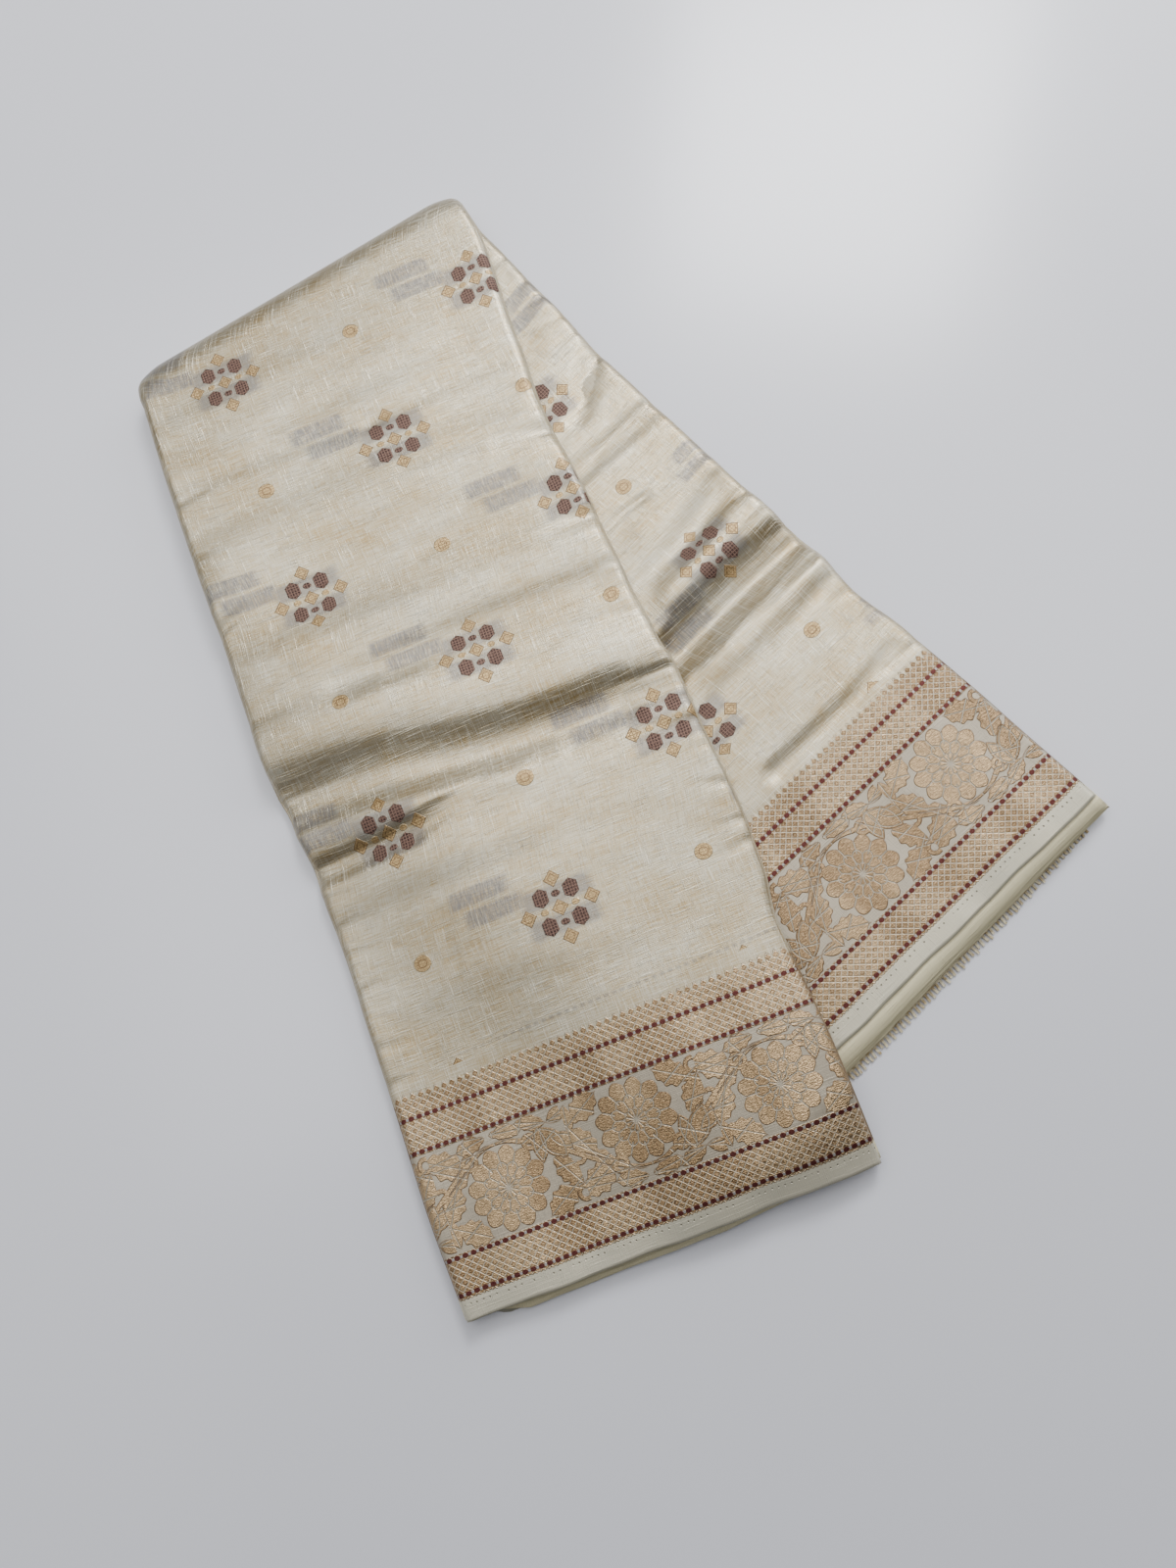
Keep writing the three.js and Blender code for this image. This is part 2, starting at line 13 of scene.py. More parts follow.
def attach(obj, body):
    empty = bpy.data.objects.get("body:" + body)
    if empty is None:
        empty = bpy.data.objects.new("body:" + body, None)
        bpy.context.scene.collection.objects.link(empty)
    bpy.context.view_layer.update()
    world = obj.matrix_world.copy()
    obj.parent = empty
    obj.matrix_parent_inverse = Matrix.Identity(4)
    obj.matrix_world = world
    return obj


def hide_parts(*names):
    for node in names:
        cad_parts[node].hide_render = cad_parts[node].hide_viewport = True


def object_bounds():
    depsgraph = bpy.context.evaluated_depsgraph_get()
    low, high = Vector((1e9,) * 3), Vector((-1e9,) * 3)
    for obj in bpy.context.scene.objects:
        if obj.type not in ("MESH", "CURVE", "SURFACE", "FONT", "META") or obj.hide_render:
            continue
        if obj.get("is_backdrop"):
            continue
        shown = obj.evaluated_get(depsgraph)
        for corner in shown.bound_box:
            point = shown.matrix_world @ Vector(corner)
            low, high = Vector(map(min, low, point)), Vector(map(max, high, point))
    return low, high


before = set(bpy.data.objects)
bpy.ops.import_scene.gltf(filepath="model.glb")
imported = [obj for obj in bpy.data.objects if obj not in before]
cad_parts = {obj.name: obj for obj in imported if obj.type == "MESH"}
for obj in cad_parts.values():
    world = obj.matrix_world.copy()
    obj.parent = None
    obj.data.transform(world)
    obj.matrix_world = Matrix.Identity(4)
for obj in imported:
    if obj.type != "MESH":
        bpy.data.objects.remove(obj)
solid_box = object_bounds()

# ------------------------------------------------------------------ sizes of the bunch
MIDDLE = (203.45, 312.01)  # middle of the outline
WIDTH = 233  # one pleat
HEIGHT = 11  # one half of the bunch
HALVES_GAP = 1  # between the two halves
SIDE = HEIGHT / 2  # radius of the rounded long sides
FOLD_REACH = 570  # from the front left corner to the fold, square to the fold
FOLD_BULGE = 9  # the turn swells outwards by this much more than its height
FOLD_SKEW = math.radians(9.1)  # the fold against the front hem
BACK_SKEW = math.radians(22.4)  # the back half against the front half
BACK_CORNER = (414, 135)  # outer corner of the back hem
CORE_GAP = 1.8  # cloth nearer than this to a half's underside stays flat
FULL_LIFT = 0.8 * HEIGHT  # cloth above this follows the creases in full
DEEPEST = -6.9  # no trough presses the bunch flatter than this
DROP_START = 10  # the front half comes down to the surface this far from the back half
DROP_RUN = 50  # and takes this far to do so
DROP_SPREAD = 2.2  # more slowly beside its long side than past its hem
CORNER_PULL = 6  # the fold's two ends are rounded
CORNER_RUN = 22  # over this width
FRONT_FOLD_AT = 600  # how far up its edges a half meets the fold, near enough to read them there
BACK_FOLD_AT = (578, 524)
BESIDE_START = 3  # no ridge of the back half lifts the front half, and it grows beside it
BESIDE_RUN = 15
FOLD_CALM = 0.08  # share of a half's length over which its creases end at the fold
HEM_RUN = 0.05  # share over which a leaf that ends elsewhere leaves the hem's line
CLOTH = 0.35  # wall of a leaf
HIDDEN_CLOTH = 0.3  # wall of a hidden leaf
LENGTH = 1199.6  # from selvedge to selvedge, as the pattern counts it

# Edges of the front half: distance from its hem, left edge, right edge.
FRONT_EDGES = np.array([
    (-6, -2, 233), (60, -4, 232.5), (135, -3, 230), (165, -3, 234.5), (195, -2.5, 236),
    (262, -4, 233.5), (288, -7.3, 233), (308, -10.8, 229.5), (347, -11, 226.5),
    (390, -10.7, 224.5), (470, -11.5, 219), (516, -11.8, 221), (590, -10.5, 224.5),
    (625, -10, 221.5),
])
# Edges of the back half: height up from its hem, outer edge, inner edge, both measured inwards.
BACK_EDGES = np.array([
    (-22, -2, 233), (70, -0.5, 233), (136, 1, 233), (173, 4.5, 233), (204, 2, 233),
    (276, 3, 233), (386, 2.2, 232), (441, -1.6, 230), (498, -4.7, 227), (524, -7.3, 224),
    (578, -7.3, 221.3),
])

# ------------------------------------------------------------------ creases
# From (u1, v1) to (u2, v2), bowed sideways at the middle; height at each end and reach to a side.
# On the front half u is x and v is y, on the back half they are inwards and up from its hem.
FRONT_FOLDS = [
    (-20, 302, 60, 293, 0, -6.2, -6, 23),
    (60, 293, 195, 281, -5, -6, -5.2, 23),
    (195, 281, 228, 278, 0, -5.2, -1.5, 17),
    (-20, 334, 70, 330, 0, 3.6, 4, 26),
    (70, 330, 228, 306, -5, 4, 1.8, 25),
    (-10, 273, 150, 267, 0, 2, 1, 15),
    (-15, 254, 60, 254, 0, -3.8, -2.4, 11),
    (60, 254, 112, 268, 0, -2.4, -0.4, 9),
    (-10, 236, 120, 234, 0, 1.2, 0.8, 18),
    (50, 349, 215, 350, 2, -1.3, -1.4, 15),
    (40, 372, 215, 373, 2, 1, 1, 17),
    (0, 404, 200, 408, 3, -2.6, -2, 26),
    (10, 451, 200, 455, 5, 2, 1.4, 26),
    (182, 396, 236, 389, 0, -0.8, -2.4, 12),
    (190, 452, 232, 448, 0, -0.6, -2, 12),
]
BACK_FOLDS = [
    (-6, 219, 112, 218, 1, -6.2, -6.6, 22),
    (-4, 247, 112, 247, 0, 3.2, 3.4, 20),
    (10, 200, 105, 197, 0, 2.2, 1.6, 15),
    (14, 272, 50, 260, 0, -1.4, -2, 14),
    (50, 260, 100, 256, 0, -2, -1.6, 14),
    (10, 286, 95, 282, 0, 1.4, 1.2, 15),
    (16, 133, 50, 128, 0, -0.8, -1.6, 9),
    (50, 128, 112, 129, 0, -1.6, -2, 9),
    (0, 338, 100, 340, 0, -1.4, -2, 12),
    (2, 392, 40, 366, 0, -2, -1.4, 12),
]
# Smaller creases and puckers, which add to the folds.
FRONT_PUCKERS = [
    (-12, 300, 34, 301, 1, -1.7, -0.2, 4.5),
    (-8, 313, 30, 310, 0, 0.8, 0, 5),
    (-10, 257, 42, 257, 1, -1.7, -0.3, 4),
    (42, 257, 108, 268, 1, -0.9, -0.3, 3.5),
    (-8, 284, 22, 281, 0, -1.1, 0, 4),
    (-12, 410, 26, 419, 2, -1.2, 0, 5),
    (-12, 424, 20, 426, 0, 0.6, 0, 6),
    (-12, 380, 30, 374, 0, -0.7, 0, 6),
    (-12, 352, 22, 350, 0, -0.8, 0, 5),
    (-8, 239, 24, 236, 0, -1.1, 0, 4),
    (-8, 218, 22, 221, 1, -1, 0, 4),
    (-8, 205, 20, 202, 0, -0.8, 0, 4),
    (-8, 181, 18, 184, 0, -1, 0, 4),
    (-8, 150, 22, 147, 0, -0.8, 0, 4.5),
    (-8, 128, 14, 129, 0, -0.9, 0, 4),
    (-12, 462, 16, 459, 0, -0.7, 0, 5),
    (-12, 497, 18, 501, 0, -0.8, 0, 5),
    (-12, 588, 20, 583, 0, -1.2, 0, 6),
    (240, 288, 184, 292, 1, -1.6, -0.2, 4),
    (240, 298, 206, 300, 0, 0.8, 0, 4),
    (240, 325, 200, 329, 1, -1.1, 0, 4.5),
    (240, 312, 214, 313, 0, -0.8, 0, 4),
    (240, 341, 198, 345, 1, -1.2, 0, 4.5),
    (240, 357, 210, 360, 0, -1, 0, 4),
    (240, 371, 212, 370, 0, -0.8, 0, 4),
    (240, 388, 200, 395, 1, -1.4, 0, 4.5),
    (240, 400, 208, 405, 0, -1.1, 0, 4),
    (240, 415, 212, 416, 0, -0.9, 0, 4),
    (236, 431, 208, 433, 0, -0.9, 0, 4),
    (236, 449, 196, 455, 1, -1.1, 0, 4.5),
    (236, 472, 206, 475, 0, -0.9, 0, 4),
    (236, 491, 202, 490, 0, -1, 0, 4.5),
    (236, 517, 196, 520, 1, -0.7, 0, 6),
    (236, 545, 204, 549, 0, -0.9, 0, 5),
    (240, 268, 206, 266, 0, -1.1, 0, 4.5),
    (240, 254, 208, 256, 0, -1, 0, 4),
    (240, 238, 214, 240, 0, -0.6, 0, 4),
    (240, 213, 214, 222, 1, -1.1, 0, 4),
    (240, 192, 216, 194, 0, -0.9, 0, 4),
    (240, 181, 210, 178, 0, -0.9, 0, 4.5),
    (60, 520, 190, 528, 3, -0.6, -0.4, 13),
    (-8, 506, 120, 500, 3, -0.7, -0.8, 11),
    (120, 500, 215, 504, 2, -0.8, -0.4, 10),
    (130, 464, 220, 452, 2, -0.5, -0.8, 9),
    (60, 434, 150, 430, 2, -0.6, -0.5, 10),
    (30, 385, 150, 372, 4, 0.5, 0.4, 13),
    (95, 353, 205, 351, 2, -0.4, -0.5, 12),
    (120, 410, 215, 420, 3, -0.5, -0.5, 11),
    (40, 222, 190, 214, 2, -0.4, -0.3, 14),
    (20, 168, 150, 160, 2, 0.4, 0.3, 16),
    (140, 262, 235, 250, 3, -0.7, -0.7, 11),
    (60, 208, 54, 158, 1, -0.5, -0.4, 3),
    (-5, 545, 120, 556, 3, 0.5, 0.4, 13),
    (46, -12, 52, 118, 2, 1.2, 0.6, 24),
    (16, -12, 14, 112, -1, -1.2, -0.5, 14),
    (204, -12, 208, 112, 1, 1.4, 0.6, 20),
    (172, -12, 178, 104, 2, -1.4, -0.4, 17),
    (112, -12, 120, 96, -2, -0.6, -0.2, 18),
]
BACK_PUCKERS = [
    (-4, 218, 100, 216, 1, -0.9, -0.8, 6),
    (-6, 228, 20, 230, 0, -1.6, 0, 4),
    (-6, 243, 34, 241, 0, -1.2, 0, 4),
    (-6, 257, 26, 262, 0, -1.2, 0, 4),
    (8, 203, 75, 197, 1, -1.1, -0.6, 6),
    (-6, 294, 30, 290, 1, -1.2, 0, 4.5),
    (48, 300, 84, 301, 1, -1.2, -0.4, 4),
    (-6, 278, 24, 279, 0, -0.8, 0, 4),
    (-6, 342, 52, 341, 1, -1, -0.6, 4),
    (-6, 318, 24, 322, 0, -0.7, 0, 4),
    (-6, 172, 26, 176, 1, -0.9, 0, 4.5),
    (-6, 155, 22, 158, 0, -0.8, 0, 4),
    (-6, 189, 18, 187, 0, -0.7, 0, 4),
    (-4, 126, 26, 127, 0, -1, -0.5, 4),
    (4, 388, 32, 370, 0, -1.3, -0.8, 3.5),
    (20, 187, 60, 177, 1, -0.6, -0.3, 8),
    (0, 320, 70, 325, 2, 0.5, 0.3, 12),
    (0, 362, 60, 352, 2, 0.5, 0.3, 10),
    (-6, 408, 26, 412, 0, -1, 0, 5),
    (-6, 420, 30, 432, 0, -0.9, 0, 5),
    (-6, 440, 30, 446, 0, -1, 0, 4.5),
    (-6, 458, 30, 455, 0, -0.9, 0, 5),
    (-6, 478, 26, 480, 0, -0.9, 0, 4.5),
    (-6, 96, 14, 97, 0, -0.5, 0, 4),
    (34, -10, 40, 112, 2, 0.8, 0.4, 20),
    (82, -10, 86, 112, -2, -0.8, -0.4, 18),
]


def ease(t):
    k = np.clip(t, 0, 1)
    return k * k * (3 - 2 * k)


def mix(a, b, share):
    return a + (b - a) * share


def look_up(rows, at, column):
    """Value of a column of a table at a key in its first column."""
    keys = rows[:, 0]
    row = np.clip(np.searchsorted(keys, at, side="right") - 1, 0, len(keys) - 2)
    share = ease((at - keys[row]) / (keys[row + 1] - keys[row]))
    return mix(rows[row, column], rows[row + 1, column], share)


def crease(rows, u, v):
    """The height of each crease at the points (u, v), one after another."""
    for u1, v1, u2, v2, bow, rise1, rise2, reach in rows:
        length = math.hypot(u2 - u1, v2 - v1)
        along_u, along_v = (u2 - u1) / length, (v2 - v1) / length
        k = np.clip(((u - u1) * along_u + (v - v1) * along_v) / length, 0, 1)
        side_u, side_v = u - u1 - k * length * along_u, v - v1 - k * length * along_v
        bend = 4 * bow * k * (1 - k)
        distance = np.hypot(side_u + bend * along_v, side_v - bend * along_u) / reach
        yield mix(rise1, rise2, k) * np.clip(1 - distance**2, 0, 1) ** 2


def folds(rows, u, v):
    """The deepest trough and the highest ridge at each point."""
    deepest, highest = np.zeros_like(u), np.zeros_like(u)
    for rise in crease(rows, u, v):
        deepest, highest = np.minimum(deepest, rise), np.maximum(highest, rise)
    return deepest + highest


def puckers(rows, u, v):
    return sum(crease(rows, u, v))


def waves(u, v):
    slow = np.sin(0.032 * u + 0.021 * v) + np.sin(0.038 * v - 0.011 * u + 1)
    small = 0.6 * np.sin(0.059 * u - 0.017 * v + 2)
    fine = 0.22 * np.sin(0.11 * v + 0.9 * np.sin(0.021 * u) + 0.4) * np.sin(0.023 * u + 0.031 * v)
    return 0.45 * (slow + small + fine)


# ------------------------------------------------------------------ where the cloth lies
def front_x(share, offset, y):
    return mix(look_up(FRONT_EDGES, y, 1), look_up(FRONT_EDGES, y, 2), share) + offset


def back_inward(share, offset, up):
    return mix(look_up(BACK_EDGES, up, 2), look_up(BACK_EDGES, up, 1), share) - offset


def back_xy(inward, up):
    cos, sin = math.cos(BACK_SKEW), math.sin(BACK_SKEW)
    return BACK_CORNER[0] - inward * cos - up * sin, BACK_CORNER[1] - inward * sin + up * cos


def to_back(x, y):
    cos, sin = math.cos(BACK_SKEW), math.sin(BACK_SKEW)
    x, y = x - BACK_CORNER[0], y - BACK_CORNER[1]
    return -x * cos - y * sin, -x * sin + y * cos


def end_pull(share, offset):
    """How far the fold is set back at a place across, which rounds its two ends."""
    from_left = share * WIDTH + offset
    inside = np.minimum(from_left, WIDTH - from_left)
    return CORNER_PULL * np.maximum(0, 1 - inside / CORNER_RUN) ** 2


def front_fold_y(share, offset):
    x = front_x(share, offset, np.full_like(share, FRONT_FOLD_AT))
    straight = (FOLD_REACH + x * math.sin(FOLD_SKEW)) / math.cos(FOLD_SKEW)
    return straight - end_pull(share, offset)


def back_fold_up(share, offset):
    x, y = back_xy(back_inward(share, offset, mix(*BACK_FOLD_AT, share)), 0)
    reached = y * math.cos(FOLD_SKEW) - x * math.sin(FOLD_SKEW)
    return (FOLD_REACH - reached) / math.cos(BACK_SKEW - FOLD_SKEW) - end_pull(share, offset)


def lift(height):
    """Share of a crease that cloth this far above a half's underside takes part in."""
    return np.clip((height - CORE_GAP) / (FULL_LIFT - CORE_GAP), 0, 1)


def front_rest(x, y):
    """Height of the front half's underside: over the back half, or down beside it."""
    inward, up = to_back(x, y)
    beside_inner = np.maximum(0, inward - WIDTH) / DROP_SPREAD
    clearance = np.hypot(beside_inner, np.maximum(0, -up)) - DROP_START
    return (HEIGHT + HALVES_GAP) * (1 - ease(clearance / DROP_RUN))


def fade(run):
    """How much the creases keep near the fold, and how much a leaf's hem is off near the hem."""
    return ease((1 - run) / FOLD_CALM), np.clip(1 - run / HEM_RUN, 0, 1) ** 2


def lay(share, offset, q, station, front_end, back_end):
    """Points of the cloth. Stations run from 0, the front hem, over the fold between 1 and 2, to
    3, the back hem; q is the depth from the inside of the fold, 0, to its outside, HEIGHT."""
    run = np.clip(station, 0, 1)
    calm, tail = fade(run)
    y = run * front_fold_y(share, offset) + front_end * tail
    x = front_x(share, offset, y)
    rise = folds(FRONT_FOLDS, x, y) + puckers(FRONT_PUCKERS, x, y) + waves(x, y)
    rise = np.maximum(DEEPEST, rise) * calm
    front = np.stack([x, y, front_rest(x, y) + q + lift(q) * rise], -1)

    run = 3 - np.clip(station, 2, 3)
    calm, tail = fade(run)
    up = run * back_fold_up(share, offset) + back_end * tail
    inward = back_inward(share, offset, up)
    bx, by = back_xy(inward, up)
    rise = folds(BACK_FOLDS, inward, up) + puckers(BACK_PUCKERS, inward, up) + waves(up, inward)
    rise = np.maximum(DEEPEST, rise) * calm
    beside = bx - front_x(np.ones_like(share), 0, by) - BESIDE_START
    rise = np.where(rise > 0, rise * ease(beside / BESIDE_RUN), rise)
    back = np.stack([bx, by, HEIGHT - q + lift(HEIGHT - q) * rise], -1)

    turn = (np.clip(station, 1, 2) - 1) * math.pi
    share_of_turn = ease(turn / math.pi)
    reach = (HALVES_GAP / 2 + q + FOLD_BULGE) * np.sin(turn)
    fold_y, fold_up = front_fold_y(share, offset), back_fold_up(share, offset)
    from_x = front_x(share, offset, fold_y)
    to = back_xy(back_inward(share, offset, fold_up), fold_up)
    over = np.stack([
        mix(from_x, to[0], share_of_turn) - reach * math.sin(FOLD_SKEW),
        mix(fold_y, to[1], share_of_turn) + reach * math.cos(FOLD_SKEW),
        HEIGHT + HALVES_GAP / 2 + (HALVES_GAP / 2 + q) * np.cos(turn),
    ], -1)
    at = station[..., None]
    return np.where(at <= 1, front, np.where(at < 2, over, back))


# How the pattern of the cloth lies on each half: what is added to the measured place, so that
# cloth taken up in the creases is counted. Distance from the hem, across, along.
FRONT_SHIFT = np.array([
    (0, 6, 0), (121, 6, 0), (184, 6, 0), (259, -1, 0.6), (340, -1, -4.8), (409, -4, 1.8),
    (483, 0, 3.4), (562, 2, 0), (603, 2, 0),
])
BACK_SHIFT = np.array([
    (0, 6.7, 0), (122, 6.7, 0), (172, 6.7, 11.7), (247, -1.1, 12.4), (313, -7.2, 22.6),
    (385, -8, 25.8), (551, -8, 25.8),
])


def pattern_place(share, offset, arc, station):
    """Where a point of a leaf is in the pattern, in millimetres across and along the cloth."""
    run = np.clip(station, 0, 1)
    y = run * front_fold_y(share, np.zeros_like(share))
    x = front_x(share, offset, y) + arc
    front = x + look_up(FRONT_SHIFT, y, 1), y + look_up(FRONT_SHIFT, y, 2)
    run = 3 - np.clip(station, 2, 3)
    up = run * back_fold_up(share, np.zeros_like(share))
    inward = back_inward(share, offset, up) - arc
    across = 175.5 - inward - look_up(BACK_SHIFT, up, 1)
    back = across, LENGTH - up - look_up(BACK_SHIFT, up, 2)
    k = np.clip(station - 1, 0, 1)
    return np.stack([mix(f, b, k) for f, b in zip(front, back)], -1)


# ------------------------------------------------------------------ sheets of cloth
def side_spot(right, angle, radius, outer=True):
    """A point on a long side, at an angle above its middle."""
    turn = math.radians(angle if outer else -angle)
    offset = (SIDE - radius * math.cos(turn)) * (-1 if right else 1)
    return (1 if right else 0, offset, SIDE + radius * math.sin(turn))


# How a face turns under at its long sides: angle above the middle, radius.
ROLL = [
    (72, 4.6), (58, 4.6), (46, 4.65), (38, 4.85), (35, 5.1), (37, 5.35), (44, 5.5), (55, 5.5),
    (66, 5.5), (78, 5.5),
]
FACE_COLUMNS = 66  # across the flat of a face


def face_section(outer, columns):
    left = [side_spot(False, angle, radius, outer) for angle, radius in ROLL]
    q = HEIGHT if outer else 0
    flat = [(k / columns, SIDE * (1 - 2 * k / columns), q) for k in range(columns + 1)]
    right = [side_spot(True, angle, radius, outer) for angle, radius in reversed(ROLL)]
    return np.array(left + flat + right, float)


def arc_of(section):
    """Arc length of a section beyond the flat of its face, negative on the left."""
    x = section[:, 0] * WIDTH + section[:, 1]
    steps = np.hypot(np.diff(x), np.diff(section[:, 2]))
    flat = np.where((section[:, 0] > 0) & (section[:, 0] < 1))[0]
    first, last = flat[0] - 1, flat[-1] + 1
    arc = np.zeros(len(section))
    for i in range(first - 1, -1, -1):
        arc[i] = arc[i + 1] - steps[i]
    for i in range(last + 1, len(section)):
        arc[i] = arc[i - 1] + steps[i - 1]
    edge = np.where(np.arange(len(section)) < first, section[first, 1], 0)
    edge = np.where(np.arange(len(section)) > last, section[last, 1], edge)
    return arc, edge


def rows_of(*counts):
    """Stations: so many steps on the front half, round the fold and on the back half."""
    parts = [np.linspace(k, k + 1, count + 1)[(k > 0):] for k, count in enumerate(counts)]
    return np.concatenate(parts)


def sheet_mesh(name, section, stations, front_ends, back_ends, place, flipped, wall, sink):
    """A sheet of cloth: a grid, its columns along the section and its rows along the stations."""
    grid = bmesh.new()
    columns, rows = len(section) - 1, len(stations) - 1
    bmesh.ops.create_grid(grid, x_segments=columns, y_segments=rows, size=0.5)
    if flipped:
        bmesh.ops.reverse_faces(grid, faces=grid.faces)
    mesh = bpy.data.meshes.new(name)
    grid.to_mesh(mesh)
    grid.free()
    flat = np.empty(len(mesh.vertices) * 3)
    mesh.vertices.foreach_get("co", flat)
    flat = flat.reshape(-1, 3)
    column = np.rint((flat[:, 0] + 0.5) * columns).astype(int)
    row = np.rint((flat[:, 1] + 0.5) * rows).astype(int)
    share, offset, q = section[column].T
    station = stations[row]
    points = lay(share, offset, q, station, front_ends[column], back_ends[column])
    points[:, :2] -= MIDDLE
    mesh.vertices.foreach_set("co", (points / 1000).ravel())
    corners = np.empty(len(mesh.loops), int)
    mesh.loops.foreach_get("vertex_index", corners)
    across = place(column, station)
    mesh.uv_layers.new(name="cloth").data.foreach_set("uv", (across[corners] / 1000).ravel())
    mesh.polygons.foreach_set("use_smooth", np.ones(len(mesh.polygons), bool))
    piece = bpy.data.objects.new(name, mesh)
    bpy.context.scene.collection.objects.link(piece)
    solid = piece.modifiers.new("wall", "SOLIDIFY")
    solid.thickness, solid.offset = wall / 1000, sink
    return piece


HEM_SHARES = [0, 0.07, 0.62, 1]  # where along its width a hem's place is given


def hem(shares, ends):
    """How far a hem is off its line."""
    return np.interp(shares, HEM_SHARES, ends)


def face_place(section):
    arc, edge = arc_of(section)

    def place(column, station):
        share = section[column, 0]
        beyond = edge[column] != 0
        offset = np.where(beyond, edge[column], section[column, 1])
        return pattern_place(share, offset, arc[column], station)

    return place


outer_section = face_section(True, FACE_COLUMNS)
inner_section = face_section(False, FACE_COLUMNS)
uneven = 0.35 * np.sin(outer_section[:, 0] * 19) + 0.2 * np.sin(outer_section[:, 0] * 43 + 1)
outer_leaf = sheet_mesh(
    "outer_leaf", outer_section, rows_of(340, 14, 40), uneven,
    hem(outer_section[:, 0], [-12, -11.8, -9, -7.5]), face_place(outer_section), False, CLOTH, -1,
)
inner_leaf = sheet_mesh(
    "inner_leaf", inner_section, rows_of(40, 14, 300), hem(inner_section[:, 0], [4, -4, -3, 4]),
    uneven, face_place(inner_section), True, CLOTH, -1,
)

# ------------------------------------------------------------------ the hidden pleats
LAYERS = 11  # leaves of the hidden pleats that are made
LOWEST = 1.75  # depth of the lowest
STEP = 0.75  # from each to the next
PLEAT_SHIFT = 31  # how far the pattern moves across from one hidden leaf to the next
# How far the leaves' hems are off the line: depth of the leaf, then the four shares of HEM_SHARES.
FRONT_HEMS = np.array([
    (2.7, 3, -5, -4, 3), (4.6, 5, -2, -1, 4), (6.4, 2, 2.5, 1, 3), (8.3, 1.5, 0.8, 1.2, 2),
])
BACK_HEMS = np.array([
    (2.7, -9.5, -9.3, -7.5, -6.5), (4.6, -11.5, -11.3, -9.6, -8.5), (6.4, -12.8, -12.4, -10, -9),
    (8.3, -8, -7.6, -6, -5),
])
FLAT_INSET = SIDE + 1.2  # where a leaf's flat ends, inwards from the long side
END_INSET = 15  # where the first and the last leaf end
PLEAT_RADIUS = 5.25  # folded edges follow the rounded long side
CORNER_RADIUS = 4.1  # but stay further in near its top and bottom
PLEAT_MIDDLE = 2.9
PLEAT_STEPS = 4  # facets of a folded edge


def pleat_section():
    """To and fro between the long sides, from the lowest leaf to the highest."""
    spots = []
    for layer in range(LAYERS):
        q = LOWEST + layer * STEP
        to_right = layer % 2 == 0
        shares = np.linspace(0, 1, 9) if to_right else np.linspace(1, 0, 9)
        last_end = 1 if to_right else 0
        for share in shares:
            first = layer == 0 and share == 0
            last = layer == LAYERS - 1 and share == last_end
            inset = END_INSET if first or last else FLAT_INSET
            spots.append((share, inset * (1 - 2 * share), q, layer))
        if layer + 1 == LAYERS:
            break
        height = q + STEP / 2 - SIDE
        radius = PLEAT_RADIUS if abs(height) < PLEAT_MIDDLE else CORNER_RADIUS
        tip = SIDE - math.sqrt(max(radius**2 - height**2, 1)) + STEP / 2
        for step in range(PLEAT_STEPS + 1):
            turn = math.pi * step / PLEAT_STEPS
            out = tip - STEP / 2 * math.sin(turn)
            level = q + STEP / 2 * (1 - math.cos(turn))
            spots.append((last_end, -out if to_right else out, level, layer + step / PLEAT_STEPS))
    return np.array(spots, float)


pleats = pleat_section()


def leaf_ends(hems):
    level = pleats[:, 2]
    corners = np.stack([np.interp(level, hems[:, 0], hems[:, k]) for k in range(1, 5)])
    shares = pleats[:, 0]
    ends = np.array([hem(s, corners[:, i]) for i, s in enumerate(shares)])
    return ends + 0.7 * np.sin(pleats[:, 3] * 2.4) + 0.3 * np.sin(shares * 17 + pleats[:, 3] * 1.3)


def pleat_place(column, station):
    share, offset = pleats[column, 0], pleats[column, 1]
    return pattern_place(share, offset, PLEAT_SHIFT * pleats[column, 3], station)


hidden_pleats = sheet_mesh(
    "hidden_pleats", pleats[:, :3], rows_of(110, 8, 100),
    leaf_ends(FRONT_HEMS), leaf_ends(BACK_HEMS), pleat_place, False, HIDDEN_CLOTH, 0,
)

# ------------------------------------------------------------------ materials
class Number:
    """A value that changes over a surface."""

    def __init__(self, paint, socket):
        self.paint, self.socket = paint, socket

    def do(self, operation, *others, clamp=False):
        settings = {"operation": operation, "use_clamp": clamp}
        inputs = dict(enumerate([self, *others]))
        return self.paint.number("ShaderNodeMath", settings, inputs)

    def __add__(self, other):
        return self.do("ADD", other)

    def __radd__(self, other):
        return self.do("ADD", other)

    def __sub__(self, other):
        return self.do("SUBTRACT", other)

    def __rsub__(self, other):
        return self.paint.math("SUBTRACT", other, self)

    def __mul__(self, other):
        return self.do("MULTIPLY", other)

    def __rmul__(self, other):
        return self.do("MULTIPLY", other)

    def __truediv__(self, other):
        return self.do("DIVIDE", other)

    def __abs__(self):
        return self.do("ABSOLUTE")

    def __mod__(self, other):
        return self.do("FLOORED_MODULO", other)

    def __round__(self, digits=None):
        return self.do("ROUND")

    def high(self, other):
        return self.do("MAXIMUM", other)

    def low(self, other):
        return self.do("MINIMUM", other)

    def sin(self):
        return self.do("SINE")

    def cos(self):
        return self.do("COSINE")

    def inside(self, soft=0.15):
        """1 where this distance is negative, 0 where it is positive, with a soft edge."""
        return self.do("MULTIPLY_ADD", -0.5 / soft, 0.5, clamp=True)

    def rise(self, low, high):
        """From 0 at low to 1 at high."""
        return self.do("MULTIPLY_ADD", 1 / (high - low), -low / (high - low), clamp=True)

    def band(self, low, high, soft=0.15):
        return (abs(self - (low + high) / 2) - (high - low) / 2).inside(soft)


